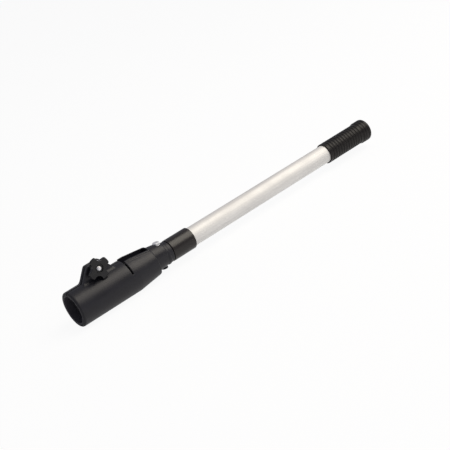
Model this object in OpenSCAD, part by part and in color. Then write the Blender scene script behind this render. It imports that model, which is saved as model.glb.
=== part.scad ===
// Telescopic tiller extension for an outboard motor, shown pushed together.
// A moulded head clamps on the motor's tiller, an inner tube is bolted in the head's neck,
// and a gripped outer tube slides on it and is locked by a twist.
// Origin: centre of the socket's mouth. +X runs along the tubes to the grip, +Z through the clamp ears.

/* [Socket and collar] */
// Bore that the tiller's own grip goes into
socket_bore = 42.5; // [38:0.5:46]
// Wall of the collar round the socket
collar_wall = 6.3; // [4.5:0.1:7.5]
// Length of the collar, from its mouth to the cross slit
collar_len = 93; // [86:1:110]
// Rounding of the mouth's outer edge
mouth_round = 2.6; // [1:0.1:3.2]
// Width of the slit along the top of the collar
clamp_slit_w = 2.4; // [1.6:0.1:4]
// Width of the cross slit behind the collar
cross_slit_w = 2.2; // [1.6:0.1:3.4]
// Half of the angle that the cross slit spans, from the top
cross_slit_half = 70; // [50:1:85]

/* [Clamp ears] */
// Where the front flank of the ears leaves the collar
ear_front_x = 22; // [18:1:26]
// Where the rear flank of the ears leaves the collar
ear_rear_x = 83; // [79:1:85]
// Width over both ears
ears_w = 13; // [12:0.5:16]
// Height of the ears' flat top over the clamp bolt
ear_over_bolt = 6.5; // [5:0.1:8]
// Distance from the clamp bolt to the rounding at each end of that top
ear_top_half = 9; // [8:0.5:12]
// Radius of these roundings
ear_round = 6; // [3:0.1:7]
// Fillet between the ears and the collar
ear_fillet = 7; // [3:0.5:9]
// Place of the clamp bolt along the collar
clamp_bolt_x = 53; // [50:1:56]
// Depth of the pocket that keeps the clamp bolt's head from turning
head_pocket = 2; // [1.4:0.1:3]

/* [Rear taper and neck] */
// Length of the taper along its top
taper_len = 44; // [36:1:54]
// Length over which it keeps the full width of the collar
taper_lead = 8; // [1:0.5:12]
// How much further the taper reaches along its bottom
taper_slant = 3.5; // [2:0.5:12]
// Radius of the taper at its rear end
taper_end_r = 23; // [21.5:0.1:24]
// Width of the slot cored into the top of the taper
slot_w = 17.5; // [12:0.5:20]
// Solid left between the slot and the rear end of the taper
slot_end_wall = 1.6; // [1:0.1:4]
// Width of the rail along each side of the slot
rail_w = 3; // [2:0.1:5]
// Height of these rails over the taper
rail_rise = 1.3; // [0.8:0.1:2.4]
// Wall of the neck round the inner tube
neck_wall = 4.2; // [3:0.1:5]
// Length of the neck behind the top of the taper
neck_len = 33.2; // [28:0.2:44]
// How much thicker the neck is at its root
neck_draft = 2.6; // [1:0.1:3.2]
// How far the fuller top of the neck rises over the rest at its root
saddle_rise = 3.6; // [2:0.1:4.2]
// How far it rises over the rest at its end, behind the neck bolt
saddle_end_rise = 2.7; // [1.6:0.1:3.4]
// Length of the ring at the end of the neck
end_ring_len = 6.4; // [5:0.1:7]
// Length of the bead before that ring
bead_len = 4.4; // [3:0.1:5]
// Height of that bead over the ring
bead_rise = 1.1; // [0.5:0.1:1.5]
// Distance of the neck bolt from the end of the neck
neck_bolt_back = 14.8; // [14.8:0.2:18]
// How much deeper the neck bolt's nut is seated than its head
neck_nut_sink = 1.8; // [1:0.1:2.2]

/* [Fasteners] */
// Diameter of the clamp and neck bolts
bolt_d = 6; // [5:0.5:7]
// Clearance on the diameter of a bolt hole
bolt_clearance = 0.3; // [0.2:0.05:0.6]
// Width across the flats of the bolt heads and of the nut
hex_af = 10; // [9:0.5:11]
// Height of a bolt head
bolt_head_h = 4; // [3:0.1:5]
// Height of the neck nut
neck_nut_h = 4; // [3:0.1:5]
// Bolt end that shows past a nut or the knob
bolt_proud = 1; // [0.6:0.1:3]
// Diameter of a washer
washer_d = 12; // [11.6:0.1:13]
// Thickness of the clamp washer and of the neck washers
washer_t = 1.2; // [0.8:0.1:2]

/* [Clamp knob] */
// Diameter over the knob's lobes
knob_d = 35; // [32:0.5:38]
// Thickness of the lobed part
knob_t = 8; // [7:0.5:12]
// Thickness of the lobes at their tips
knob_rim_t = 2.6; // [2:0.1:4]
// Diameter of the lobed part at its back, from which the lobes flare out
knob_back_d = 22.6; // [22:0.2:26]
// Number of lobes
knob_lobes = 4; // [3:1:5]
// Angle of the first lobe at rest
knob_clock = 21; // [-45:1:45]
// Rounding of a lobe's corners
lobe_round = 2.2; // [1.4:0.1:2.6]
// Radius of the scoop between two lobes
scoop_r = 7; // [6:0.1:7.4]
// Depth of that scoop
scoop_depth = 6.9; // [6:0.1:7]
// Rounding of the front edge of the lobes
knob_round = 1.2; // [0.6:0.1:2]
// Room between the lobes and the collar that they turn past
knob_gap = 0.4; // [0.4:0.1:2]
// Diameter of the hub behind the lobes
hub_d = 16; // [14:0.5:18]
// Height of that hub
hub_h = 2; // [1:0.1:4]
// Diameter of the recess in the front of the knob
knob_recess_d = 13; // [12:0.2:15]
// Depth of that recess
knob_recess_h = 2.2; // [1:0.1:3]
// Diameter of the threaded insert
insert_d = 10; // [9:0.2:11]

/* [Tubes] */
// Wall of the outer tube
outer_wall = 1.5; // [1:0.1:2]
// Length of the outer tube
outer_tube_len = 422.5; // [400:0.5:480]
// Diameter of the inner tube
inner_tube_d = 25; // [22:0.1:28]
// Wall of the inner tube
inner_wall = 1.5; // [1:0.1:2]
// How deep the inner tube sits in the neck
inner_seat = 54; // [45:1:56]
// Radial clearance between the inner tube and the guide bush
slide_clearance = 0.15; // [0.1:0.01:0.2]
// Wall of the guide bush, which sets the outer tube's bore
guide_wall = 0.8; // [0.6:0.1:1.5]
// Length of the guide bush inside the outer tube
guide_len = 28; // [20:1:40]
// Wall of the ferrule over the outer tube
ferrule_wall = 2.2; // [0.8:0.1:2.6]
// Length of the ferrule
ferrule_len = 41.4; // [32:0.2:60]
// Thickness of the ferrule's lip in front of the tube
ferrule_lip = 2.7; // [1.5:0.1:4]
// Gap between the neck and the ferrule when pushed together
parking_gap = 0.4; // [0.3:0.1:1.5]

/* [Twist lock] */
// Diameter of the lock's threaded spindle
spindle_d = 8; // [6:0.5:9]
// Length of the plug inside the inner tube
plug_len = 20; // [16:1:30]
// Distance of the pin through the plug from the end of the inner tube
plug_pin_back = 12; // [8:0.5:13]
// Thickness of the plug's flange
plug_flange = 3; // [2:0.2:5]
// Diameter of the pin through the plug
plug_pin_d = 3; // [2:0.5:4]
// Length of the split sleeve
sleeve_len = 26; // [24:1:30]
// Thickness of the sleeve's front wall
sleeve_wall = 6; // [4:0.5:8]
// Width of the four slits in the sleeve
sleeve_slit_w = 2.2; // [1.6:0.1:3]
// Half angle of the wedge cone
cone_angle = 9; // [7:0.5:12]
// Length of the wedge cone
cone_len = 16; // [12:0.5:16]
// Large radius of the sleeve's conical bore
cone_mouth_r = 10.8; // [10:0.1:11.4]
// Clearance between the cone and the sleeve when released
cone_clearance = 0.25; // [0.2:0.01:0.4]
// Length of the cone's straight rim
cone_rim = 4; // [3:0.5:6]
// Room on the spindle between the cone and the stop nut
stop_gap = 5; // [2:0.5:10]
// Room between the end of the spindle and the tube plug when pushed together
lock_end_gap = 7.3; // [2:0.1:40]
// Height of the stop nut on the spindle
stop_nut_h = 6.5; // [5:0.1:8]
// Width across the flats of the stop nut
stop_nut_af = 13; // [12:0.5:15]

/* [Grip] */
// Length of the grip
grip_len = 97.3; // [90:0.1:130]
// Wall of the grip over the tube, at the foot of its ribs
grip_wall = 1.3; // [1:0.1:2.5]
// Height of a rib
rib_h = 0.9; // [0.3:0.1:1.2]
// Distance between ribs
rib_pitch = 5.9; // [3:0.1:6]
// Length of the plain band at the front of the grip
grip_band_len = 5; // [4:0.5:14]
// Length of the bulge at the end of the grip
bulge_len = 20; // [14:0.5:26]
// Height of that bulge over the ribs
bulge_rise = 1.4; // [0.6:0.1:3]
// Thickness of the grip's closed end
grip_end_wall = 5; // [3:0.2:6]
// Length of the plug that closes the outer tube
tube_plug_len = 12; // [8:1:16]

/* [Hidden] */
$fn = 72;

// Margin by which a cut passes the face that it opens
over = 1;
// Clearance on the diameter of a piece that is pushed or screwed into another and stays there
seat_clearance = 0.1;
// Clearance on the diameter of a thread or hub that turns on its shaft
turn_clearance = 0.12;
// Clearance on the diameter of the released sleeve in the outer tube
sleeve_clearance = 0.2;
// Small gap between faces that turn against each other
face_gap = 0.3;
// How far the socket runs past the cross slit
socket_past = 2;
// Wall left between the slot and the inner tube
slot_floor_wall = 2.6;
// How far the neck bolt's seats stand over the neck's end ring
seat_over_ring = 0.55;
// How far the foot of the ears is sunk into the collar's wall, from the socket
ear_root = 1;
// Plastic left over each end of the insert
insert_cover = 1;
// Spindle left past the stop nut, and plug left behind the spindle
spindle_tail = 1.5;
plug_floor = 4;
// Clearance on the diameter of a washer in its spot face
spot_clearance = 0.8;
// How far the neck stands over its end ring, at the bead
neck_shoulder = 0.2;
// Length of the slope up to the bead
bead_ramp = 1.2;
// How much fuller the top of the neck is than the ring, at its end
saddle_end_full = 0.5;
// Clearance on the diameter of the ferrule's lip round the inner tube
lip_clearance = 1;
// Rounding of the ends of the neck, the ferrule and the grip
neck_edge = 0.8;
ferrule_edge = 0.8;
grip_edge = 1;
bulge_edge = 3;
// Length of the slope up to the grip's bulge
bulge_ramp = 4.6;

collar_r = socket_bore / 2 + collar_wall;
taper_x = collar_len + cross_slit_w;
taper_end_x = taper_x + taper_len;
taper_start_x = taper_x + taper_lead;
taper_tail_x = taper_end_x + taper_slant;
neck_end_x = taper_end_x + neck_len;
ring_x = neck_end_x - end_ring_len;
bead_x = ring_x - bead_len;
neck_r = inner_tube_d / 2 + neck_wall;
neck_bolt_x = neck_end_x - neck_bolt_back;
// The neck bolt's seats are spot faces, this far from the axis
neck_seat_z = neck_r + seat_over_ring;
neck_nut_seat_z = neck_seat_z - neck_nut_sink;
spot_face_d = washer_d + spot_clearance;
inner_x = neck_end_x - inner_seat;
socket_floor_x = taper_x + socket_past;
slot_floor_z = inner_tube_d / 2 + slot_floor_wall;
ear_foot_z = socket_bore / 2 + ear_root;

// The clamp stack is measured outwards from the middle plane, towards the knob
stack_washer = ears_w / 2;
stack_hub = stack_washer + washer_t;
stack_lobes = stack_hub + hub_h;
stack_front = stack_lobes + knob_t;
stack_rim = stack_front - knob_rim_t;
stack_insert = stack_hub + insert_cover;
stack_insert_end = stack_front - knob_recess_h - insert_cover;
// Distances of a scoop's centre and of a lobe's corner from the bolt, and the angle between them
scoop_pitch = knob_d / 2 - scoop_depth + scoop_r;
corner_pitch = knob_d / 2 - lobe_round;
corner_angle = acos((pow(corner_pitch, 2) + pow(scoop_pitch, 2) - pow(scoop_r + lobe_round, 2))
    / (2 * corner_pitch * scoop_pitch));
// The bolt stands as high as the lobes need to turn past the collar
clamp_bolt_z = sqrt(pow(collar_r, 2) - pow(stack_rim, 2)) + knob_gap + knob_d / 2;
ear_top_z = clamp_bolt_z + ear_over_bolt;

// The ferrule parks in front of the neck, and its lip stands before the tube's end
ferrule_x = neck_end_x + parking_gap;
outer_x = ferrule_x + ferrule_lip;
outer_end_x = outer_x + outer_tube_len;
guide_bore = inner_tube_d + 2 * slide_clearance;
outer_bore = guide_bore + 2 * guide_wall + seat_clearance;
outer_tube_d = outer_bore + 2 * outer_wall;
inner_bore = inner_tube_d - 2 * inner_wall;
grip_end_x = outer_end_x + grip_end_wall;
grip_x = grip_end_x - grip_len;
grip_r = outer_tube_d / 2 + grip_wall;
bulge_r = grip_r + rib_h + bulge_rise;
bulge_x = grip_end_x - bulge_len;
rib_count = floor((grip_len - bulge_len - grip_band_len) / rib_pitch);
bulge_rib_count = floor((bulge_len - bulge_ramp - bulge_edge) / rib_pitch);

// The lock is laid out back from the far end of the outer tube, and the inner tube reaches up to it
spindle_end_x = outer_end_x - tube_plug_len - lock_end_gap;
stop_nut_x = spindle_end_x - spindle_tail - stop_nut_h;
cone_back_x = stop_nut_x - stop_gap;
sleeve_end_x = cone_back_x - cone_rim;
sleeve_x = sleeve_end_x - sleeve_len;
inner_end_x = sleeve_x - face_gap - plug_flange;
plug_pin_x = inner_end_x - plug_pin_back;
spindle_x = inner_end_x - plug_len + plug_floor;
sleeve_d = outer_bore - sleeve_clearance;
cone_slope = tan(cone_angle);
cone_back_r = cone_mouth_r - cone_clearance;
cone_tip_r = cone_back_r - cone_slope * (cone_len - cone_rim);

// Points of an arc round c, from angle a0 to a1
function arc(c, r, a0, a1, n = 8) =
    [for (i = [0 : n]) c + r * [cos(a0 + (a1 - a0) * i / n), sin(a0 + (a1 - a0) * i / n)]];

// Radius of the taper at x
function taper_r(x) =
    collar_r + (taper_end_r - collar_r) * (x - taper_start_x) / (taper_tail_x - taper_start_x);

// Angle, seen from the centre of an ear's rounding, at which a flank from the given foot touches it
function flank_angle(foot, centre, side) =
    let (from = foot - centre)
    atan2(from[1], from[0]) + side * acos(ear_round / norm(from));

// Stands a form that was drawn along Z on the tube's axis
module on_axis(x) {
    translate([x, 0, 0])
        rotate([0, 90, 0])
            children();
}

// Turns a profile of [radius, x] points about the tube's axis
module turned(points) {
    on_axis(0)
        rotate_extrude()
            polygon(points);
}

// A round bar or, with a bore, a round tube on the tube's axis
module bar(x0, x1, d, bore = 0) {
    on_axis(x0)
        difference() {
            cylinder(h = x1 - x0, d = d);
            if (bore > 0)
                translate([0, 0, -over])
                    cylinder(h = x1 - x0 + 2 * over, d = bore);
        }
}

// Stands a form that was drawn along Z on the clamp bolt, out from the middle plane
module on_clamp_bolt(out = 0) {
    translate([clamp_bolt_x, -out, clamp_bolt_z])
        rotate([90, 0, 0])
            children();
}

// A hexagon of the given width across its flats
module hexagon(af, h) {
    cylinder(h = h, d = af / cos(30), $fn = 6);
}

module washer_form(h) {
    difference() {
        cylinder(h = h, d = washer_d);
        translate([0, 0, -over])
            cylinder(h = h + 2 * over, d = bolt_d + bolt_clearance);
    }
}

// Collar and taper in one turned form, whose rear end is cut on a slant
module head_body() {
    mouth = arc([collar_r - mouth_round, mouth_round], mouth_round, -90, 0);
    difference() {
        turned(concat([[0, 0]], mouth,
            [[collar_r, taper_start_x], [taper_end_r, taper_tail_x], [0, taper_tail_x]]));
        slant = atan(taper_slant / (taper_r(taper_end_x) + taper_end_r));
        translate([taper_end_x, 0, taper_r(taper_end_x)])
            rotate([0, -slant, 0])
                translate([0, -2 * collar_r, -4 * collar_r])
                    cube([4 * collar_r, 4 * collar_r, 8 * collar_r]);
    }
}

// The rails that stiffen both sides of the slot
module slot_rails() {
    rails_w = slot_w + 2 * rail_w;
    intersection() {
        turned([[0, taper_x], [collar_r + rail_rise, taper_x], [collar_r + rail_rise, taper_start_x],
            [taper_r(taper_end_x) + rail_rise, taper_end_x], [0, taper_end_x]]);
        translate([taper_x, -rails_w / 2, 0])
            cube([taper_len, rails_w, 2 * collar_r]);
    }
}

// Tapering neck with its bead and end ring
module neck() {
    root_x = taper_end_x - over;
    bead_r = neck_r + bead_rise;
    end_round = arc([neck_r - neck_edge, neck_end_x - neck_edge], neck_edge, 0, 90, 4);
    turned(concat([[0, root_x], [neck_r + neck_draft, root_x], [neck_r + neck_shoulder, bead_x],
        [bead_r, bead_x + bead_ramp], [bead_r, ring_x], [neck_r, ring_x]], end_round, [[0, neck_end_x]]));
    neck_saddle();
}

// The neck is fuller along its top, where it carries the end of the slot and the neck bolt's head
module neck_saddle() {
    saddle_len = bead_x - taper_end_x + over;
    translate([bead_x, 0, saddle_end_rise])
        rotate([0, -90 + atan((saddle_rise - saddle_end_rise) / saddle_len), 0])
            cylinder(h = saddle_len, r1 = neck_r + saddle_end_full, r2 = neck_r + neck_draft);
}

// Both clamp ears as one block: a side outline with a flat top, filleted into the collar
module ears() {
    corner_z = ear_top_z - ear_round;
    front_foot = [ear_front_x, ear_foot_z];
    rear_foot = [ear_rear_x, ear_foot_z];
    front_corner = [clamp_bolt_x - ear_top_half, corner_z];
    rear_corner = [clamp_bolt_x + ear_top_half, corner_z];
    front = flank_angle(front_foot, front_corner, -1) + 360;
    rear = flank_angle(rear_foot, rear_corner, 1);
    outline = concat([front_foot, rear_foot], arc(rear_corner, ear_round, rear, 90),
        arc(front_corner, ear_round, 90, front));
    fillet_y = ears_w / 2 + ear_fillet;
    fillet_z = sqrt(pow(collar_r + ear_fillet, 2) - pow(fillet_y, 2));
    foot_angle = atan2(fillet_z, fillet_y) + 180;
    side = arc([fillet_y, fillet_z], ear_fillet, foot_angle, 180);
    half = concat(side, [[ears_w / 2, ear_top_z + over]]);
    other = [for (i = [len(half) - 1 : -1 : 0]) [-half[i][0], half[i][1]]];
    intersection() {
        translate([0, 2 * collar_r, 0])
            rotate([90, 0, 0])
                linear_extrude(4 * collar_r)
                    polygon(outline);
        rotate([90, 0, 90])
            linear_extrude(collar_len)
                polygon(concat(half, other));
    }
}

// The blind socket for the tiller and the one for the inner tube
module socket_voids() {
    bar(-over, socket_floor_x, socket_bore);
    bar(inner_x, neck_end_x + over, inner_tube_d + seat_clearance);
}

// The slit between the ears and the cross slit that lets the collar close
module clamp_slits() {
    translate([-over, -clamp_slit_w / 2, 0])
        cube([taper_x + over, clamp_slit_w, 3 * collar_r]);
    on_axis(collar_len)
        rotate([0, 0, 180 - cross_slit_half])
            rotate_extrude(angle = 2 * cross_slit_half)
                translate([socket_bore / 2 - over, 0])
                    square([collar_wall + ear_fillet, cross_slit_w]);
}

module top_slot() {
    translate([collar_len, -slot_w / 2, slot_floor_z])
        cube([taper_end_x - slot_end_wall - collar_len, slot_w, collar_r]);
}

// Holes for both bolts, the pocket that holds the clamp bolt's head and the neck bolt's spot faces
module bolt_holes() {
    hole_d = bolt_d + bolt_clearance;
    on_clamp_bolt(-collar_r)
        cylinder(h = 2 * collar_r, d = hole_d);
    on_clamp_bolt(-collar_r)
        hexagon(hex_af + bolt_clearance, collar_r - ears_w / 2 + head_pocket);
    translate([neck_bolt_x, 0, -2 * neck_r])
        cylinder(h = 4 * neck_r, d = hole_d);
    translate([neck_bolt_x, 0, neck_seat_z])
        cylinder(h = neck_r, d = spot_face_d);
    translate([neck_bolt_x, 0, -neck_nut_seat_z - neck_r])
        cylinder(h = neck_r, d = spot_face_d);
}

module clamp_head() {
    color("#27292c")
        difference() {
            union() {
                head_body();
                slot_rails();
                neck();
                ears();
            }
            socket_voids();
            clamp_slits();
            top_slot();
            bolt_holes();
        }
}

module clamp_bolt() {
    seat = head_pocket - ears_w / 2;
    color("#c9ccd0") {
        on_clamp_bolt(seat - bolt_head_h)
            hexagon(hex_af, bolt_head_h);
        on_clamp_bolt(seat - bolt_head_h / 2)
            cylinder(h = stack_front + bolt_proud - seat + bolt_head_h / 2, d = bolt_d);
    }
}

module clamp_washer() {
    color("#b9bdc2")
        on_clamp_bolt(stack_washer)
            washer_form(washer_t);
}

// Outline of the knob: a disc with a round scoop between each two lobes, whose corners are rounded
module knob_outline() {
    step = 360 / knob_lobes;
    outwards = [cos(corner_angle), sin(corner_angle)];
    corner = corner_pitch * outwards;
    inwards = ([scoop_pitch, 0] - corner) / (scoop_r + lobe_round);
    reach = 2 * lobe_round;
    rotate(knob_clock + step / 2) {
        difference() {
            circle(d = knob_d);
            for (i = [0 : knob_lobes - 1])
                rotate(i * step)
                    translate([scoop_pitch, 0])
                        circle(r = scoop_r);
            for (i = [0 : knob_lobes - 1], side = [0, 1])
                rotate(i * step)
                    mirror([0, side])
                        polygon([corner, corner + reach * outwards, corner + reach * (outwards + inwards),
                            corner + reach * inwards]);
        }
        for (i = [0 : knob_lobes - 1], side = [0, 1])
            rotate(i * step)
                mirror([0, side])
                    translate(corner)
                        circle(r = lobe_round);
    }
}

// The lobes flare out from the hub to a thin rim, so that they clear the collar
module clamp_knob() {
    front = arc([knob_d / 2 - knob_round, knob_t - knob_round], knob_round, 0, 90, 5);
    flare = [[0, 0], [knob_back_d / 2, 0], [knob_d / 2, knob_t - knob_rim_t]];
    color("#1f2022")
        difference() {
            union() {
                on_clamp_bolt(stack_hub)
                    cylinder(h = hub_h + over, d = hub_d);
                on_clamp_bolt(stack_lobes)
                    intersection() {
                        linear_extrude(knob_t)
                            knob_outline();
                        rotate_extrude()
                            polygon(concat(flare, front, [[0, knob_t]]));
                    }
            }
            on_clamp_bolt(stack_hub - over)
                cylinder(h = knob_t + hub_h + 2 * over, d = bolt_d + bolt_clearance);
            on_clamp_bolt(stack_insert)
                cylinder(h = stack_insert_end - stack_insert, d = insert_d + seat_clearance);
            on_clamp_bolt(stack_front - knob_recess_h)
                cylinder(h = knob_recess_h + over, d = knob_recess_d);
        }
}

module knob_insert() {
    color("#c2a14d")
        on_clamp_bolt(stack_insert)
            difference() {
                cylinder(h = stack_insert_end - stack_insert, d = insert_d);
                translate([0, 0, -over])
                    cylinder(h = knob_t + hub_h, d = bolt_d + turn_clearance);
            }
}

module neck_bolt() {
    head_z = neck_seat_z + washer_t;
    end_z = neck_nut_seat_z + washer_t + neck_nut_h + bolt_proud;
    color("#c9ccd0")
        translate([neck_bolt_x, 0, 0]) {
            translate([0, 0, head_z])
                hexagon(hex_af, bolt_head_h);
            translate([0, 0, -end_z])
                cylinder(h = end_z + head_z + bolt_head_h / 2, d = bolt_d);
        }
}

module neck_washers() {
    color("#b9bdc2")
        for (z = [-neck_nut_seat_z - washer_t, neck_seat_z])
            translate([neck_bolt_x, 0, z])
                washer_form(washer_t);
}

module neck_nut() {
    color("#303236")
        translate([neck_bolt_x, 0, -neck_nut_seat_z - washer_t - neck_nut_h])
            difference() {
                hexagon(hex_af, neck_nut_h);
                translate([0, 0, -over])
                    cylinder(h = neck_nut_h + 2 * over, d = bolt_d + seat_clearance);
            }
}

module inner_tube() {
    color("#c4c6c8")
        difference() {
            bar(inner_x, inner_end_x, inner_tube_d, inner_bore);
            translate([neck_bolt_x, 0, -inner_tube_d])
                cylinder(h = 2 * inner_tube_d, d = bolt_d + bolt_clearance);
            translate([plug_pin_x, inner_tube_d, 0])
                rotate([90, 0, 0])
                    cylinder(h = 2 * inner_tube_d, d = plug_pin_d + seat_clearance);
        }
}

// Plug that closes the inner tube and holds the lock's spindle
module lock_plug() {
    color("#3a3c40")
        difference() {
            union() {
                bar(inner_end_x - plug_len, inner_end_x + over, inner_bore - seat_clearance);
                bar(inner_end_x, inner_end_x + plug_flange, inner_tube_d);
            }
            bar(spindle_x, inner_end_x + plug_flange + over, spindle_d + seat_clearance);
            translate([plug_pin_x, inner_tube_d, 0])
                rotate([90, 0, 0])
                    cylinder(h = 2 * inner_tube_d, d = plug_pin_d + seat_clearance);
        }
}

// Pin across the inner tube, the plug and the spindle's end
module plug_pin() {
    color("#a9adb2")
        translate([plug_pin_x, inner_tube_d / 2, 0])
            rotate([90, 0, 0])
                cylinder(h = inner_tube_d, d = plug_pin_d);
}

module lock_spindle() {
    color("#b9bdc2")
        difference() {
            bar(spindle_x, spindle_end_x, spindle_d);
            translate([plug_pin_x, spindle_d, 0])
                rotate([90, 0, 0])
                    cylinder(h = 2 * spindle_d, d = plug_pin_d + seat_clearance);
        }
}

module stop_nut() {
    color("#c9ccd0")
        on_axis(stop_nut_x)
            difference() {
                hexagon(stop_nut_af, stop_nut_h);
                translate([0, 0, -over])
                    cylinder(h = stop_nut_h + 2 * over, d = spindle_d + seat_clearance);
            }
}

// Split sleeve that turns with the outer tube and is spread by the cone
module expander_sleeve() {
    cup_len = sleeve_len - sleeve_wall;
    color("#d9d7cf")
        difference() {
            bar(sleeve_x, sleeve_end_x, sleeve_d, spindle_d + turn_clearance);
            on_axis(sleeve_end_x - cup_len)
                cylinder(h = cup_len + over, r1 = cone_mouth_r - cone_slope * cup_len,
                    r2 = cone_mouth_r + cone_slope * over);
            for (turn = [0, 90])
                on_axis(sleeve_end_x - cup_len)
                    rotate(turn)
                        translate([-sleeve_d, -sleeve_slit_w / 2, 0])
                            cube([2 * sleeve_d, sleeve_slit_w, cup_len + over]);
        }
}

// Wedge cone on the spindle's thread, keyed into two of the sleeve's slits
module expander_cone() {
    key_w = sleeve_slit_w - 2 * face_gap;
    key_r = sleeve_d / 2 - 2 * face_gap;
    key_len = cone_len / 2;
    color("#4a4d52")
        difference() {
            union() {
                on_axis(cone_back_x - cone_len)
                    cylinder(h = cone_len - cone_rim, r1 = cone_tip_r, r2 = cone_back_r);
                bar(cone_back_x - cone_rim, cone_back_x, 2 * cone_back_r);
                on_axis(cone_back_x - key_len - over)
                    translate([-key_r, -key_w / 2, 0])
                        cube([2 * key_r, key_w, key_len]);
            }
            bar(cone_back_x - cone_len - over, cone_back_x + over, spindle_d + turn_clearance);
        }
}

module outer_tube() {
    color("#d4d5d6")
        bar(outer_x, outer_end_x, outer_tube_d, outer_bore);
}

// Liner in the tube's mouth that runs on the inner tube and stops the sleeve
module guide_bush() {
    color("#e4e2da")
        bar(outer_x, outer_x + guide_len, guide_bore + 2 * guide_wall, guide_bore);
}

// Cap over the tube's mouth
module ferrule() {
    ferrule_r = outer_tube_d / 2 + ferrule_wall;
    rim = ferrule_r - ferrule_edge;
    ferrule_end_x = ferrule_x + ferrule_len;
    front = arc([rim, ferrule_x + ferrule_edge], ferrule_edge, -90, 0, 4);
    rear = arc([rim, ferrule_end_x - ferrule_edge], ferrule_edge, 0, 90, 4);
    color("#2a2b2c")
        difference() {
            turned(concat([[0, ferrule_x]], front, rear, [[0, ferrule_end_x]]));
            bar(ferrule_x - over, outer_x + over, inner_tube_d + lip_clearance);
            bar(outer_x, ferrule_end_x + over, outer_tube_d + seat_clearance);
        }
}

// Points of a run of ribs, from x on and over a foot of the given radius
function rib_run(x, count, foot_r) =
    let (land = rib_pitch / 4)
    [for (i = [0 : count - 1]) let (rib_x = x + i * rib_pitch)
        each [[foot_r + rib_h, rib_x], [foot_r, rib_x + land], [foot_r, rib_x + 2 * land],
            [foot_r + rib_h, rib_x + 3 * land]]];

// Soft grip: a plain band, fine ribs all round and a ribbed bulge that closes its end
module grip() {
    band_r = grip_r + rib_h;
    front = arc([band_r - grip_edge, grip_x + grip_edge], grip_edge, -90, 0, 4);
    ribs = rib_run(grip_x + grip_band_len, rib_count, grip_r);
    bulge_ribs = rib_run(bulge_x + bulge_ramp, bulge_rib_count, grip_r + bulge_rise);
    bulge_end = arc([bulge_r - bulge_edge, grip_end_x - bulge_edge], bulge_edge, 0, 90, 8);
    color("#242527")
        difference() {
            turned(concat([[0, grip_x]], front, ribs, [[band_r, bulge_x]], bulge_ribs, bulge_end,
                [[0, grip_end_x]]));
            bar(grip_x - over, outer_end_x, outer_tube_d + seat_clearance);
        }
}

module tube_plug() {
    color("#3a3c40")
        bar(outer_end_x - tube_plug_len, outer_end_x, outer_bore - seat_clearance);
}

clamp_head();
clamp_bolt();
clamp_washer();
clamp_knob();
knob_insert();
neck_bolt();
neck_washers();
neck_nut();
inner_tube();
lock_plug();
plug_pin();
lock_spindle();
stop_nut();
expander_sleeve();
expander_cone();
outer_tube();
guide_bush();
ferrule();
grip();
tube_plug();
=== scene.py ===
# %% [markdown]
# # A telescopic tiller extension
# The imported model comes in first and stays as it is: it is the frame that every piece here hangs
# on. The box that it fills is kept, and the end prints how much the dressed part's box differs from
# it. The box that it fills is kept, because the dressed part has to stay inside it.

# %% Load the imported model
from math import pi, radians

import bmesh
import bpy
import numpy as np
from mathutils import Matrix, Vector
from mathutils.kdtree import KDTree


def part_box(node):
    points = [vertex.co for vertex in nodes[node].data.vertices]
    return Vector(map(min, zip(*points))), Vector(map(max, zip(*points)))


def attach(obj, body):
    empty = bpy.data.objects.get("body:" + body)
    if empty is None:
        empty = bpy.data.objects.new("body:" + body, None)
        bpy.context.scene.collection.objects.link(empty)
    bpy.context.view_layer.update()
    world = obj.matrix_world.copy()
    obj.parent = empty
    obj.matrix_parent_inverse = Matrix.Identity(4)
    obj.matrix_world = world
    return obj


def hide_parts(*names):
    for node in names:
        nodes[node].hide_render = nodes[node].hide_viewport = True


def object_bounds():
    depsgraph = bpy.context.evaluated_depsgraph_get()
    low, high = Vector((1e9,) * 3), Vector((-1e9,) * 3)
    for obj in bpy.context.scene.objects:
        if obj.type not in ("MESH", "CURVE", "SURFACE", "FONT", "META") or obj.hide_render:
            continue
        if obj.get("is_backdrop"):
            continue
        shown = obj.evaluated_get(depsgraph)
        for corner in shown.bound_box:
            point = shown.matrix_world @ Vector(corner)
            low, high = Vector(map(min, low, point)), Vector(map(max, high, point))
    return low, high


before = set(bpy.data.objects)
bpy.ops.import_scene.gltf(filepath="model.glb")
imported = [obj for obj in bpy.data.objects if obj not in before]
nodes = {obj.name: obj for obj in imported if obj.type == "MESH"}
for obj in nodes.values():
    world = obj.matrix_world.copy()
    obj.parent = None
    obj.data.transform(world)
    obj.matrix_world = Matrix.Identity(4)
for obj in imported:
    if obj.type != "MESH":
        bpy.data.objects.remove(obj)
cad_low, cad_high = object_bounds()
MM = 0.001
print("packed nodes:", len(nodes))
print("box in mm:", [round(side / MM, 1) for side in cad_high - cad_low])

# %% [markdown]
# ## Sums on sockets
# A finish is a small program made of nodes. Wiring each Math node by hand hides the sum that it
# stands for, so one class wraps a socket and lets plain arithmetic add the nodes. Its `node` method
# makes every other kind of node: settings first, then the values or links of the sockets.

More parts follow.
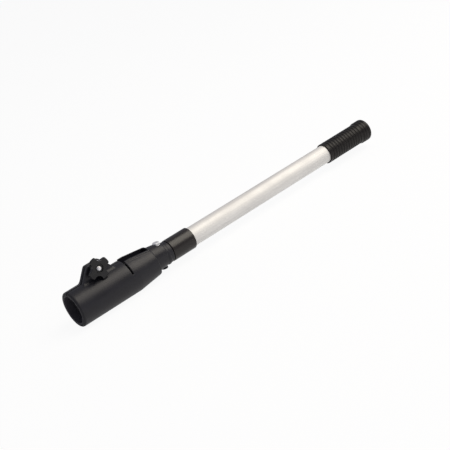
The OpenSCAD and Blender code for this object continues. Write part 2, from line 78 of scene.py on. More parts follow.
# %% A wire that can be added, multiplied and compared
class Wire:
    """One output socket of a node tree, on which plain arithmetic adds Math nodes."""

    def __init__(self, tree, socket):
        self.tree = tree
        self.socket = socket

    @staticmethod
    def feed(tree, socket, value):
        """Links a wire, or each wire of a list, into a socket, or sets a plain value on it."""
        if isinstance(value, Wire):
            tree.links.new(value.socket, socket)
        elif isinstance(value, list):
            for wire in value:
                tree.links.new(wire.socket, socket)
        else:
            socket.default_value = value

    @staticmethod
    def node(tree, kind, settings=None, sockets=None, out=0):
        """Makes a node of one kind and hands back one of its outputs as a wire."""
        made = tree.nodes.new(kind)
        for name, value in (settings or {}).items():
            setattr(made, name, value)
        for name, value in (sockets or {}).items():
            Wire.feed(tree, made.inputs[name], value)
        return Wire(tree, made.outputs[out])

    def sum_of(self, operation, first, second=0.0):
        """One Math node with this operation."""
        settings = {"operation": operation}
        return Wire.node(self.tree, "ShaderNodeMath", settings, {0: first, 1: second})

    def __add__(self, other):
        return self.sum_of("ADD", self, other)

    def __radd__(self, other):
        return self.sum_of("ADD", other, self)

    def __sub__(self, other):
        return self.sum_of("SUBTRACT", self, other)

    def __rsub__(self, other):
        return self.sum_of("SUBTRACT", other, self)

    def __mul__(self, other):
        return self.sum_of("MULTIPLY", self, other)

    def __rmul__(self, other):
        return self.sum_of("MULTIPLY", other, self)

    def __truediv__(self, other):
        return self.sum_of("DIVIDE", self, other)

    def __rtruediv__(self, other):
        return self.sum_of("DIVIDE", other, self)

    def __pow__(self, other):
        return self.sum_of("POWER", self, other)

    def __rpow__(self, other):
        return self.sum_of("POWER", other, self)

    def __gt__(self, other):
        return self.sum_of("GREATER_THAN", self, other)

    def __lt__(self, other):
        return self.sum_of("LESS_THAN", self, other)

    def least(self, other):
        """The smaller of two numbers."""
        return self.sum_of("MINIMUM", self, other)

    def most(self, other):
        """The larger of two numbers."""
        return self.sum_of("MAXIMUM", self, other)

    def within(self, low, high):
        """The number, held between two limits."""
        return self.most(low).least(high)

    def of(self, operation):
        """A function of one number, such as SINE, SQRT or FRACT."""
        return self.sum_of(operation, self)

    def rise(self, start, end):
        """0 before start, 1 after end and a soft step between them."""
        settings = {"interpolation_type": "SMOOTHSTEP"}
        ends = {"Value": self, "From Min": start, "From Max": end}
        return Wire.node(self.tree, "ShaderNodeMapRange", settings, ends)


def split(tree, vector):
    """The three numbers of a vector."""
    first = Wire.node(tree, "ShaderNodeSeparateXYZ", {}, {0: vector})
    return [Wire(tree, socket) for socket in first.socket.node.outputs]


print("sums on sockets are ready")

# %% [markdown]
# ## What every finish is made from
# A finish starts from the Principled shader. Three things change over any real surface: its colour
# a little, its gloss, and its fine relief. They are read from the piece's own coordinates, so that
# they stay on the piece when it moves. The attribute `edge` is written on the meshes below, and
# marks where a corner would be rubbed.

# %% Helpers for finishes
finishes = {}


def new_finish(name):
    """Keeps a new material by its name. Gives its tree, shader and the piece's coordinates."""
    material = bpy.data.materials.new(name)
    material.use_nodes = True
    finishes[name] = material
    tree = material.node_tree
    spot = Wire.node(tree, "ShaderNodeTexCoord", out="Object")
    return tree, tree.nodes["Principled BSDF"], spot


def cloud(tree, spot, size_mm, detail, along=1.0):
    """Soft noise from 0 to 1 with spots of about this size. Under 1, along draws them out in X."""
    if along != 1.0:
        drawn_out = {"Vector": spot, "Scale": (along, 1.0, 1.0)}
        spot = Wire.node(tree, "ShaderNodeMapping", {}, drawn_out)
    sockets = {"Vector": spot, "Scale": 1.0 / (size_mm * MM), "Detail": detail}
    return Wire.node(tree, "ShaderNodeTexNoise", {}, sockets)


def swing(noise, amount):
    """Noise from 0 to 1, made to swing round zero by this amount from end to end."""
    return (noise - 0.5) * amount


def blend_colour(tree, share, first, second):
    """The first colour where share is 0, the second where it is 1."""
    sockets = {0: share}
    for socket, colour in ((6, first), (7, second)):
        sockets[socket] = colour if isinstance(colour, Wire) else (*colour, 1.0)
    return Wire.node(tree, "ShaderNodeMix", {"data_type": "RGBA"}, sockets, out=2)


def shaded(colour, share):
    """A colour, darkened evenly."""
    return [part * share for part in colour]


def relief(tree, height, depth_mm):
    """A Bump node: height from 0 to 1 over a depth."""
    sockets = {"Height": height, "Distance": depth_mm * MM, "Strength": 1.0}
    return Wire.node(tree, "ShaderNodeBump", {}, sockets)


def rubbed(tree):
    """How much a corner is rubbed here, from 0 to 1."""
    return Wire.node(tree, "ShaderNodeAttribute", {"attribute_name": "edge"}, out="Fac")


def dress(tree, shader, **sockets):
    """Feeds the shader's sockets, named in lower case with _ for a space."""
    for name, value in sockets.items():
        Wire.feed(tree, shader.inputs[name.replace("_", " ").title()], value)


def along_and_out(tree, spot):
    """How far along the tubes a point lies, and how far from their axis."""
    x, y, z = split(tree, spot)
    return x, (y * y + z * z).of("SQRT")


print("helpers for finishes are ready")

# %% [markdown]
# ## Moulded plastic
# The head, the knob and the ferrule come out of moulds: one satin with a fine spark grain, one
# polished, one with a soft sheen. They differ in a few numbers only, so one function makes all
# three, and the pale and grey plastics of the lock inside the tubes too. Handling polishes the
# corners and takes the depth out of the black there; the flat faces keep faint flow marks and dust.
# A tiller is pushed into the head's socket. Its bore is painted a lighter, slightly blue grey, and
# its end face is coarse from the mould. Both places are found from the distance to the axis and
# from how far along the head a point lies.

# %% The socket's bore, painted lighter, and its end face
SOCKET_R = 21.25 * MM
SOCKET_DEPTH = 95.2 * MM
# A lighter grey painted into the socket's bore, in place of the dark plastic.
BORE_LIGHTER_GREY = (0.055, 0.053, 0.062)
BORE_MASK_FADE = 2.5 * MM
BORE_MASK_PAST_END = 1.0 * MM
END_FACE_FADE = (0.5 * MM, 4.0 * MM)


def socket_bore_and_end_face(tree, spot):
    """Two shares from 0 to 1: the socket's bore, which is painted lighter, and its coarse end face.
    """
    x, radius = along_and_out(tree, spot)
    bore = 1.0 - radius.rise(SOCKET_R, SOCKET_R + BORE_MASK_FADE)
    return bore * (x < SOCKET_DEPTH + BORE_MASK_PAST_END), 1.0 - x.rise(*END_FACE_FADE)


print("the socket's bore and end face are ready")

# %% Moulded plastics
DEEP_SHARE = 0.72
DUST_SHARE = 0.35
RUBBED_SHARE = 0.35
SCUFF_ROUGH = 0.28


def moulded_plastic(
    name, colour, worn, rough, grain_mm, grain_depth_mm, polish, shine, socket=False
):
    """worn is the colour of rubbed corners, and polish is how much roughness they lose."""
    tree, shader, spot = new_finish(name)
    shader.inputs["Specular IOR Level"].default_value = shine
    flow = cloud(tree, spot, size_mm=9.0, detail=3.0, along=0.35)
    grain = cloud(tree, spot, size_mm=grain_mm, detail=4.0)
    dust = cloud(tree, spot, size_mm=2.2, detail=5.0).rise(0.56, 0.78)
    edge = rubbed(tree)
    base = blend_colour(tree, flow.rise(0.3, 0.7), shaded(colour, DEEP_SHARE), colour)
    base = blend_colour(tree, dust * DUST_SHARE, base, worn)
    patchy = RUBBED_SHARE + (1.0 - RUBBED_SHARE) * flow
    base = blend_colour(tree, edge * patchy, base, worn)
    roughness = rough + swing(flow, 0.16) + swing(grain, 0.10) - edge * polish + dust * 0.08
    if socket:
        bore, end_face = socket_bore_and_end_face(tree, spot)
        # The socket's bore is painted a lighter grey here.
        base = blend_colour(tree, bore * (0.5 + 0.5 * flow), base, BORE_LIGHTER_GREY)
        roughness = roughness + bore.most(end_face) * SCUFF_ROUGH
    dress(tree, shader, base_color=base, roughness=roughness.within(0.08, 0.9))
    dress(tree, shader, normal=relief(tree, grain + 0.6 * flow, grain_depth_mm))


moulded_plastic(
    "satin nylon", colour=(0.0115, 0.0115, 0.0165), worn=(0.020, 0.020, 0.022), rough=0.41,
    grain_mm=0.45, grain_depth_mm=0.035, polish=0.04, shine=0.34, socket=True,
)
moulded_plastic(
    "polished nylon", colour=(0.0115, 0.0115, 0.0130), worn=(0.018, 0.018, 0.019), rough=0.26,
    grain_mm=0.9, grain_depth_mm=0.012, polish=0.05, shine=0.30,
)
moulded_plastic(
    "sheen nylon", colour=(0.0125, 0.0098, 0.0088), worn=(0.022, 0.020, 0.018), rough=0.31,
    grain_mm=0.6, grain_depth_mm=0.012, polish=0.06, shine=0.39,
)
moulded_plastic(
    "white acetal", colour=(0.80, 0.78, 0.72), worn=(0.86, 0.84, 0.79), rough=0.36,
    grain_mm=0.5, grain_depth_mm=0.010, polish=0.05, shine=0.5,
)
moulded_plastic(
    "grey polythene", colour=(0.065, 0.065, 0.070), worn=(0.11, 0.11, 0.11), rough=0.45,
    grain_mm=0.6, grain_depth_mm=0.014, polish=0.05, shine=0.5,
)
print("moulded finishes:", list(finishes))

# %% [markdown]
# ## Ribbed rubber
# The grip is a soft black rubber. Hands polish the tops of its ribs, and the furrows between them
# keep a grey dust. How deep a point lies is its distance from the axis, so the dust can follow the
# furrows with no extra drawing.

# %% Grip rubber
FURROW_R = 16.3 * MM
RIB_R = 17.2 * MM
RUBBER_DARK = (0.0070, 0.0058, 0.0054)
RUBBER_LIGHT = (0.0100, 0.0086, 0.0082)
FURROW_DUST = (0.020, 0.019, 0.018)
RUBBED_RUBBER = (0.018, 0.017, 0.016)
RUBBER_ROUGH = 0.45
RUBBER_SHINE = 0.23


def grip_rubber(name):
    """A dull black whose furrows are dusty and whose rib tops are a little polished."""
    tree, shader, spot = new_finish(name)
    shader.inputs["Specular IOR Level"].default_value = RUBBER_SHINE
    top = along_and_out(tree, spot)[1].rise(FURROW_R, RIB_R)
    flow = cloud(tree, spot, size_mm=14.0, detail=3.0, along=0.6)
    grain = cloud(tree, spot, size_mm=0.35, detail=4.0)
    dust = (1.0 - top) * cloud(tree, spot, size_mm=3.0, detail=4.0).rise(0.35, 0.7)
    base = blend_colour(tree, flow, RUBBER_DARK, RUBBER_LIGHT)
    base = blend_colour(tree, dust * 0.3, base, FURROW_DUST)
    base = blend_colour(tree, rubbed(tree) * 0.4, base, RUBBED_RUBBER)
    roughness = RUBBER_ROUGH - top * 0.10 + swing(flow, 0.10) + dust * 0.15
    dress(tree, shader, base_color=base, roughness=roughness.within(0.2, 0.95))
    dress(tree, shader, normal=relief(tree, grain, depth_mm=0.03))


grip_rubber("grip rubber")
print("made:", finishes["grip rubber"].name)

# %% [markdown]
# ## Drawn aluminium
# Both tubes are drawn through a die, which leaves fine lines along them, and are then anodised,
# which makes the metal satin and a little milky. The lines are noise that is drawn out many times
# along the tube. The inner tube slides in a bush, so it is smoother and has more scratches.

# %% Aluminium of the two tubes
DULL_SHARE = 0.86
FRESH_SCRATCH = (0.93, 0.93, 0.93)


def drawn_aluminium(name, colour, rough, line_depth_mm, scratch):
    """scratch says how plainly the scratches show, from 0 to 1."""
    tree, shader, spot = new_finish(name)
    lines = cloud(tree, spot, size_mm=0.55, detail=5.0, along=0.012)
    bands = cloud(tree, spot, size_mm=6.0, detail=2.0, along=0.05)
    haze = cloud(tree, spot, size_mm=25.0, detail=3.0)
    marks = cloud(tree, spot, size_mm=0.9, detail=1.0, along=0.03).rise(0.70, 0.76) * scratch
    streaks = (lines * 0.5 + bands * 0.5).rise(0.3, 0.7)
    base = blend_colour(tree, streaks, shaded(colour, DULL_SHARE), colour)
    base = blend_colour(tree, marks * 0.5, base, FRESH_SCRATCH)
    roughness = rough + swing(lines, 0.16) + swing(haze, 0.14) - marks * 0.08
    dress(tree, shader, base_color=base, metallic=1.0, roughness=roughness.within(0.12, 0.8))
    dress(tree, shader, normal=relief(tree, lines + 0.4 * marks, line_depth_mm))


drawn_aluminium(
    "satin aluminium", colour=(0.83, 0.825, 0.81), rough=0.75, line_depth_mm=0.006, scratch=0.5,
)
drawn_aluminium(
    "sliding aluminium", colour=(0.74, 0.745, 0.75), rough=0.42, line_depth_mm=0.005, scratch=1.0,
)
print("tube finishes are ready")

# %% [markdown]
# ## Zinc, blackened steel and brass
# The bolts and washers carry a satin zinc coat with a faint blue cast, the nut under the neck is
# blackened, and the insert in the knob is turned brass. Small fasteners show stains and fine pits,
# so the noise is fine and the colour swings between two tones of the same metal. A spanner rubs
# their corners brighter.

# %% Metal of the small parts
def small_metal(name, bright, dark, corner, rough):
    """bright and dark are the two tones of the stains, and corner is that of rubbed corners."""
    tree, shader, spot = new_finish(name)
    stain = cloud(tree, spot, size_mm=2.4, detail=4.0)
    pits = cloud(tree, spot, size_mm=0.3, detail=3.0)
    edge = rubbed(tree)
    base = blend_colour(tree, stain.rise(0.3, 0.72), bright, dark)
    base = blend_colour(tree, edge * 0.6, base, corner)
    roughness = rough + swing(stain, 0.2) + swing(pits, 0.08) - edge * 0.06
    dress(tree, shader, base_color=base, metallic=1.0, roughness=roughness.within(0.1, 0.8))
    dress(tree, shader, normal=relief(tree, pits, depth_mm=0.01))


small_metal(
    "bright zinc", bright=(0.80, 0.81, 0.83), dark=(0.60, 0.61, 0.64),
    corner=(0.90, 0.90, 0.90), rough=0.60,
)
small_metal(
    "black steel", bright=(0.030, 0.031, 0.034), dark=(0.020, 0.020, 0.022),
    corner=(0.090, 0.090, 0.092), rough=0.42,
)
small_metal(
    "turned brass", bright=(0.80, 0.58, 0.26), dark=(0.60, 0.41, 0.17),
    corner=(0.92, 0.76, 0.48), rough=0.30,
)
print("all finishes:", len(finishes))

# %% [markdown]
# ## Rounded mouldings
# The solids have crisp corners, and a moulding has none: every corner is a small radius that
# catches a line of light. A bevel modifier stumbles on the many short edges where slits meet the
# taper. A voxel remesh does not care about edges, so a copy of the solid is remeshed finely, its
# points are relaxed a few times, which rounds the corners, and flat areas are thinned out again.
# How far a point moved in the relaxing tells how sharp its corner was, and becomes the `edge`
# attribute.

# %% Helpers that round a moulding
WELD = 0.002 * MM


def neighbours(mesh):
    """Both ends of every edge, as two arrays that list each edge from either side."""
    ends = np.empty(len(mesh.edges) * 2, np.int64)
    mesh.edges.foreach_get("vertices", ends)
    first, second = ends.reshape(-1, 2).T
    return np.concatenate([first, second]), np.concatenate([second, first])


def averaged(values, here, there, count):
    """For each point, the mean of its neighbours' values."""
    columns = [np.bincount(here, column[there], len(values)) for column in values.T]
    return np.stack(columns, axis=1) / count[:, None]


def points_of(mesh, what="vertices", field="co"):
    """The points of a mesh, or another list of vectors that it keeps, as an array."""
    values = np.empty(len(getattr(mesh, what)) * 3)
    getattr(mesh, what).foreach_get(field, values)
    return values.reshape(-1, 3)


def stands_out(mesh, offsets):
    """How far each point's offset goes outwards, along the mesh's normal."""
    return (offsets * points_of(mesh, "vertex_normals", "vector")).sum(axis=1)


def write_edges(mesh, values):
    """Keeps a number for each point as the attribute `edge`."""
    edge = mesh.attributes.new("edge", "FLOAT", "POINT")
    edge.data.foreach_set("value", values.astype(np.float32))


def smooth(mesh):
    """Shades every face smoothly."""
    for polygon in mesh.polygons:
        polygon.use_smooth = True


def merged_copy(node):
    """A welded copy of a node's loose triangles, as a new mesh."""
    work = bmesh.new()
    work.from_mesh(nodes[node].data)
    bmesh.ops.remove_doubles(work, verts=work.verts, dist=WELD)
    copy = bpy.data.meshes.new(node + "_copy")
    work.to_mesh(copy)
    work.free()
    return copy


def new_piece(name, mesh):
    """An object in the scene, at the origin."""
    piece = bpy.data.objects.new(name, mesh)
    bpy.context.scene.collection.objects.link(piece)
    return piece


def plain_mesh(thing):
    """Applies what modifiers an object has, and leaves it with a plain mesh."""
    graph = bpy.context.evaluated_depsgraph_get()
    made = bpy.data.meshes.new_from_object(thing.evaluated_get(graph))
    thing.modifiers.clear()
    thing.data = made
    return made


print("rounding helpers are ready")

# %% The rounding itself
RELAX_SHARE = 0.5
SOFTENINGS = 3
FULL_CORNER = 0.28
PLAIN_CORNER = 0.3


def rounded_moulding(node, name, voxel_mm, relaxings, keep):
    """A copy of a node with softly rounded corners, and its corners marked."""
    piece = new_piece(name, merged_copy(node))
    remesh = piece.modifiers.new("voxels", "REMESH")
    remesh.mode = "VOXEL"
    remesh.voxel_size = voxel_mm * MM
    mesh = plain_mesh(piece)
    here, there = neighbours(mesh)
    count = np.bincount(here, minlength=len(mesh.vertices))
    start = points_of(mesh)
    points = start.copy()
    for _ in range(relaxings):
        points += RELAX_SHARE * (averaged(points, here, there, count) - points)
    mesh.vertices.foreach_set("co", points.ravel())
    mesh.update()
    sunk = stands_out(mesh, start - points)[:, None]
    for _ in range(SOFTENINGS):
        sunk = averaged(sunk, here, there, count)
    corner = np.clip(sunk[:, 0] / (FULL_CORNER * voxel_mm * MM), 0.0, 1.0)
    thin = piece.modifiers.new("thin", "DECIMATE")
    thin.ratio = keep
    mesh = plain_mesh(piece)
    tree = KDTree(len(points))
    for index, point in enumerate(points):
        tree.insert(point, index)
    tree.balance()
    write_edges(mesh, np.array([corner[tree.find(vertex.co)[1]] for vertex in mesh.vertices]))
    smooth(mesh)
    mesh.materials.clear()
    at_corners = round(float((corner > PLAIN_CORNER).mean()), 3)
    print(name, "has", len(mesh.polygons), "faces; share at corners", at_corners)
    return piece


print("mouldings can be rounded")

# %% Handing a piece over
def wear(piece, finish, body, slot, *replaced):
    """Gives a piece its finish and body and hides the nodes it stands for. slot is not used."""
    if not piece.data.materials:
        piece.data.materials.append(finishes[finish])
    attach(piece, body)
    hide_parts(*replaced)


print("pieces can be handed over")

# %% [markdown]
# ## The clamp head and its knob
# One moulding holds everything: the split collar that grips the tiller, two ears for the clamp
# bolt, a taper with a slot and a cross slit that lets the collar bend, and the neck that takes the
# inner tube. The knob is a smaller moulding with four lobes, so its voxels are finer.

# %% Head and knob
head = rounded_moulding("clamp_head", "head_moulding", voxel_mm=0.5, relaxings=6, keep=0.3)
wear(head, "satin nylon", "head", "head_plastic", "clamp_head")
knob = rounded_moulding("clamp_knob", "star_knob", voxel_mm=0.25, relaxings=5, keep=0.4)
wear(knob, "polished nylon", "knob", "knob_plastic", "clamp_knob")

# %% [markdown]
# ## Skins by a rule
# A grip, a bolt and a nut are all a grid rolled into a tube: one direction of the grid runs along a
# profile, the other goes round. Geometry Nodes can hold that rule with the sizes as inputs, so that
# one tree makes every piece of its kind. Where a point lies in the flat grid says how far along and
# how far round it will be.

# %% A tree for rolled skins
FULL_TURN = 2.0 * pi


def new_rule(name, sizes):
    """A Geometry Nodes tree with one named input for each size, and those inputs as wires."""
    tree = bpy.data.node_groups.new(name, "GeometryNodeTree")
    tree.interface.new_socket("Geometry", in_out="OUTPUT", socket_type="NodeSocketGeometry")
    for label in sizes:
        tree.interface.new_socket(label, in_out="INPUT", socket_type="NodeSocketFloat")
    tree.interface.new_socket("Finish", in_out="INPUT", socket_type="NodeSocketMaterial")
    entry = tree.nodes.new("NodeGroupInput")
    return tree, {socket.name: Wire(tree, socket) for socket in entry.outputs if socket.name}


def rolled_skin(tree, rows, columns, profile):
    """A grid rolled round X. profile(step, turn) gives how far along and out a point lies."""
    sizes = {"Size X": 1.0, "Size Y": 1.0, "Vertices X": rows + 1, "Vertices Y": columns + 1}
    grid = Wire.node(tree, "GeometryNodeMeshGrid", {}, sizes)
    along, around, _ = split(tree, Wire.node(tree, "GeometryNodeInputPosition"))
    step = ((along + 0.5) * rows + 0.5).of("FLOOR")
    turn = (around + 0.5) * FULL_TURN
    x, out = profile(step, turn)
    rolled = {0: x, 1: out * turn.of("COSINE"), 2: out * turn.of("SINE")}
    position = Wire.node(tree, "ShaderNodeCombineXYZ", {}, rolled)
    moved = {"Geometry": grid, "Position": position}
    return Wire.node(tree, "GeometryNodeSetPosition", {}, moved)


def close_rule(tree, skins, finish):
    """Joins the skins, welds their seams and poles, and ends the tree."""
    whole = skins
    for kind, sockets in (
        ("GeometryNodeJoinGeometry", {}),
        ("GeometryNodeMergeByDistance", {"Distance": WELD}),
        ("GeometryNodeRealizeInstances", {}),
        ("GeometryNodeSetMaterial", {"Material": finish}),
    ):
        whole = Wire.node(tree, kind, {}, {"Geometry": whole, **sockets})
    Wire.feed(tree, tree.nodes.new("NodeGroupOutput").inputs[0], whole)


print("rolled skins are ready")

# %% [markdown]
# A modifier holds the sizes of one piece. They are set by the sockets' identifiers before anything
# is evaluated, the result becomes a plain mesh, and the modifier goes. Then faces are turned
# outwards, corners sharper than a fold angle keep their crease, and the corners are marked for
# wear.

# %% From a rule to a plain piece
FOLD = radians(38)
SLIVER = 0.0005 * MM
TINY = 1e-9
ROUND_SLACK = 0.06
CORNER_GAIN = 3.5


def mark_corners(mesh):
    """Writes `edge` from how far each point stands out over its neighbours."""
    here, there = neighbours(mesh)
    count = np.maximum(np.bincount(here, minlength=len(mesh.vertices)), 1)
    points = points_of(mesh)
    lengths = np.linalg.norm(points[here] - points[there], axis=1)
    span = np.bincount(here, lengths, len(points)) / count
    out = stands_out(mesh, points - averaged(points, here, there, count))
    bend = out / np.maximum(span, TINY)
    write_edges(mesh, np.clip((bend - ROUND_SLACK) * CORNER_GAIN, 0.0, 1.0))


def settle(piece, place):
    """Moves a mesh to its place, turns its faces outwards and marks its corners."""
    mesh = piece.data
    mesh.transform(place)
    work = bmesh.new()
    work.from_mesh(mesh)
    bmesh.ops.dissolve_degenerate(work, edges=work.edges, dist=SLIVER)
    bmesh.ops.recalc_face_normals(work, faces=work.faces)
    open_edges = sum(not edge.is_manifold for edge in work.edges)
    work.to_mesh(mesh)
    work.free()
    smooth(mesh)
    mesh.set_sharp_from_angle(angle=FOLD)
    mark_corners(mesh)
    print(piece.name, "has", len(mesh.polygons), "faces and", open_edges, "open edges")


def grow(name, tree, sizes, finish, place):
    """One piece from a rule: sizes in, plain mesh out, moved to its place."""
    piece = new_piece(name, bpy.data.meshes.new(name))
    rule = piece.modifiers.new("rule", "NODES")
    rule.node_group = tree
    values = {**sizes, "Finish": finishes[finish]}
    for item in tree.interface.items_tree:
        if item.in_out == "INPUT":
            rule[item.identifier] = values[item.name]
    plain_mesh(piece)
    settle(piece, place)
    return piece


print("pieces can grow from rules")

# %% [markdown]
# ## The ribbed grip
# The grip is a closed rubber cap: a plain band at its mouth, a run of even ribs, and a fatter
# rounded end that stops the hand. Its outside is one rule of the distance from the mouth. Inside is
# the bore for the tube, which needs only four rings of points.

# %% The sizes of the grip
grip_low, grip_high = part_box("grip")
GRIP_SIZES = {
    "Mouth": grip_low.x, "Length": grip_high.x - grip_low.x,
    "Bore": 15.05 * MM, "End wall": 5.0 * MM,
    "Rib radius": RIB_R, "Bulge radius": grip_high.z, "Rib height": RIB_R - FURROW_R,
    "Band": 5.0 * MM, "Pitch": 5.9 * MM, "Ribs": 12.0, "Bulge ribs": 2.0,
    "Bulge length": 20.0 * MM, "Bulge ramp": 4.6 * MM,
    "Mouth edge": 1.0 * MM, "End edge": 3.0 * MM,
}
GRIP_ROWS = 440
GRIP_COLUMNS = 96
BORE_ROWS = 3
print("the grip is", round(GRIP_SIZES["Length"] / MM, 1), "mm long")

# %% The rule of the grip
RIB_PHASE = 0.125
FURROW_WALL = (0.35, 0.85)


def fallen_back(edge, inward):
    """How far an edge of this radius has fallen back, this far into its rounding."""
    return edge - (edge ** 2.0 - inward * inward).most(0.0).of("SQRT")


def grip_rule():
    """The tree of the grip: an outside with ribs and a bulge, and a plain bore."""
    tree, size = new_rule("ribbed grip", GRIP_SIZES)
    bulge_x = size["Length"] - size["Bulge length"]
    ramp_x = bulge_x + size["Bulge ramp"]
    flat_end = size["Bulge radius"] - size["End edge"]

    def furrows(d, start, count):
        """1 in the furrows of a run of ribs, 0 on their tops and outside the run."""
        run = (d - start) / size["Pitch"]
        wave = 0.5 - 0.5 * ((run + RIB_PHASE) * FULL_TURN).of("COSINE")
        return wave.rise(*FURROW_WALL) * (run > 0.0) * (run < count)

    def outside(step, turn):
        path = step * ((size["Length"] + flat_end) / GRIP_ROWS)
        d = path.least(size["Length"])
        furrow = furrows(d, size["Band"], size["Ribs"]) + furrows(d, ramp_x, size["Bulge ribs"])
        swell = d.rise(bulge_x, ramp_x) * (size["Bulge radius"] - size["Rib radius"])
        mouth = size["Mouth edge"] - d.least(size["Mouth edge"])
        mouth_cut = fallen_back(size["Mouth edge"], mouth)
        end = (d - (size["Length"] - size["End edge"])).most(0.0)
        end_cut = fallen_back(size["End edge"], end)
        out = size["Rib radius"] - furrow * size["Rib height"] + swell
        out = out - mouth_cut - end_cut - (path - d)
        return size["Mouth"] + d, out.most(0.0) * (step < GRIP_ROWS - 0.5)

    def inside(step, turn):
        rim = size["Rib radius"] - size["Mouth edge"]
        x = size["Mouth"] + (size["Length"] - size["End wall"]) * (step > 1.5)
        return x, rim - (rim - size["Bore"]) * (step > 0.5) - size["Bore"] * (step > 2.5)

    skins = [
        rolled_skin(tree, GRIP_ROWS, GRIP_COLUMNS, outside),
        rolled_skin(tree, BORE_ROWS, GRIP_COLUMNS, inside),
    ]
    close_rule(tree, skins, size["Finish"])
    return tree


GRIP = grip_rule()
print("rule:", GRIP.name)

# %% The grip
grip = grow("ribbed_grip", GRIP, GRIP_SIZES, "grip rubber", Matrix.Identity(4))
wear(grip, "grip rubber", "handle", "grip_rubber", "grip")

# %% [markdown]
# ## Hexagon bolts and nut
# A bolt is one skin too: out over the top of the head, down its six sides, in along the underside,
# along the shank and over the end. A hexagon is a circle whose radius swings with the angle, and
# the forged chamfer is a cone that cuts it, so the curved lines on a bolt head come from taking the
# smaller of the two. The thread is a ridge that climbs one pitch a turn.

# %% Hexagons
COLUMNS = 72
SIDE_STEPS = 8
SIXTH = pi / 3.0
CHAMFER_SLOPE = 1.73
CHAMFER_RING = 0.47


def hexagon(turn, flats):
    """How far out a hexagon lies at an angle, from its width across flats."""
    angle = (turn / SIXTH).of("FRACT") * SIXTH - SIXTH / 2.0
    return flats / 2.0 / angle.of("COSINE")


def passed(step, start, rows=1):
    """How much of a run of rows lies behind this row, from 0 to 1."""
    return ((step - start) / rows).within(0.0, 1.0)


print("hexagons are ready")

# %% The rule of the bolts
BOLT_LABELS = [
    "Radius", "Length", "Pitch", "Thread depth", "Plain length", "End chamfer", "Flats",
    "Head height",
]
THREAD_STEPS = 360
RIDGE = (0.1, 0.9)


def bolt_rule():
    """The tree of a hexagon bolt that points along X, with its head behind the origin."""
    tree, size = new_rule("hexagon bolt", BOLT_LABELS)
    ring = size["Flats"] * CHAMFER_RING

    def outside(step, turn):
        top = passed(step, 0)
        side = passed(step, 1, SIDE_STEPS)
        under = passed(step, 1 + SIDE_STEPS)
        shank = passed(step, 2 + SIDE_STEPS, THREAD_STEPS)
        end = passed(step, 2 + SIDE_STEPS + THREAD_STEPS)
        cap = passed(step, 3 + SIDE_STEPS + THREAD_STEPS)
        six = hexagon(turn, size["Flats"])
        head_out = six.least(ring + side * size["Head height"] * CHAMFER_SLOPE)
        run = shank * (size["Length"] - size["End chamfer"])
        climb = (run / size["Pitch"] - turn / FULL_TURN).of("FRACT")
        groove = (2.0 * climb - 1.0).of("ABSOLUTE").rise(*RIDGE)
        threaded = run.rise(size["Plain length"], size["Plain length"] + size["Pitch"])
        shank_out = size["Radius"] - size["Thread depth"] * groove * threaded * (1.0 - end)
        x = (side - 1.0) * size["Head height"] + run + end * size["End chamfer"]
        out = ring * top + (head_out - ring) + (size["Radius"] - six) * under
        out = out + (shank_out - size["Radius"]) * (shank > 0.0)
        out = out - size["End chamfer"] * end
        return x, out * (1.0 - cap)

    rows = 4 + SIDE_STEPS + THREAD_STEPS
    close_rule(tree, [rolled_skin(tree, rows, COLUMNS, outside)], size["Finish"])
    return tree


BOLT = bolt_rule()
print("rule:", BOLT.name)

# %% The rule of the nut
NUT_LABELS = ["Hole", "Height", "Flats"]


def nut_rule():
    """The tree of a hexagon nut that stands on the origin and points along X."""
    tree, size = new_rule("hexagon nut", NUT_LABELS)
    ring = size["Flats"] * CHAMFER_RING

    def outside(step, turn):
        face = passed(step, 0)
        side = passed(step, 1, SIDE_STEPS)
        top = passed(step, 1 + SIDE_STEPS)
        bore = passed(step, 2 + SIDE_STEPS)
        rim = side.least(1.0 - side) * size["Height"] * CHAMFER_SLOPE
        side_out = hexagon(turn, size["Flats"]).least(ring + rim)
        out = size["Hole"] + (ring - size["Hole"]) * (face - top) + (side_out - ring)
        return (side - bore) * size["Height"], out

    close_rule(tree, [rolled_skin(tree, 3 + SIDE_STEPS, COLUMNS, outside)], size["Finish"])
    return tree


NUT = nut_rule()
print("rule:", NUT.name)

# %% [markdown]
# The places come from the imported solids: a bolt's axis is the middle of its node's box, and its two
# ends are the box's ends. A matrix turns the rule's X into the bolt's own direction, and two
# corners of each hexagon come to lie along the handle, as they do on the solids.

# %% Places for fasteners
HEAD_HEIGHT = 4.0 * MM
HEX_FLATS = 10.0 * MM
M6_RADIUS = 3.0 * MM
M6_PITCH = 1.0 * MM
THREAD_DEPTH = 0.55 * MM
BOLT_CHAMFER = 0.7 * MM
ALONG_HANDLE = Vector((1, 0, 0))


def frame_at(origin, forward):
    """A matrix that turns X to forward and Y along the handle, and moves the origin."""
    turned = Matrix((forward, ALONG_HANDLE, forward.cross(ALONG_HANDLE))).transposed().to_4x4()
    return Matrix.Translation(origin) @ turned


def middle(node):
    """The middle of a node's box, and the box's two corners."""
    low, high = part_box(node)
    return (low + high) / 2.0, low, high


def hexagon_bolt(name, node, axis, plain):
    """A bolt for a node whose head is at the upper end of an axis, with a plain part under it."""
    under_head, low, high = middle(node)
    under_head[axis] = high[axis] - HEAD_HEIGHT
    forward = Vector((0, 0, 0))
    forward[axis] = -1
    sizes = {
        "Radius": M6_RADIUS, "Length": under_head[axis] - low[axis], "Pitch": M6_PITCH,
        "Thread depth": THREAD_DEPTH, "Plain length": plain, "End chamfer": BOLT_CHAMFER,
        "Flats": HEX_FLATS, "Head height": HEAD_HEIGHT,
    }
    bolt = grow(name, BOLT, sizes, "bright zinc", frame_at(under_head, forward))
    wear(bolt, "bright zinc", "head", "zinc_steel", node)


print("places for fasteners are ready")

# %% The two bolts and the nut
hexagon_bolt("clamp_screw", "clamp_bolt", axis=1, plain=6.0 * MM)
hexagon_bolt("neck_screw", "neck_bolt", axis=2, plain=24.0 * MM)

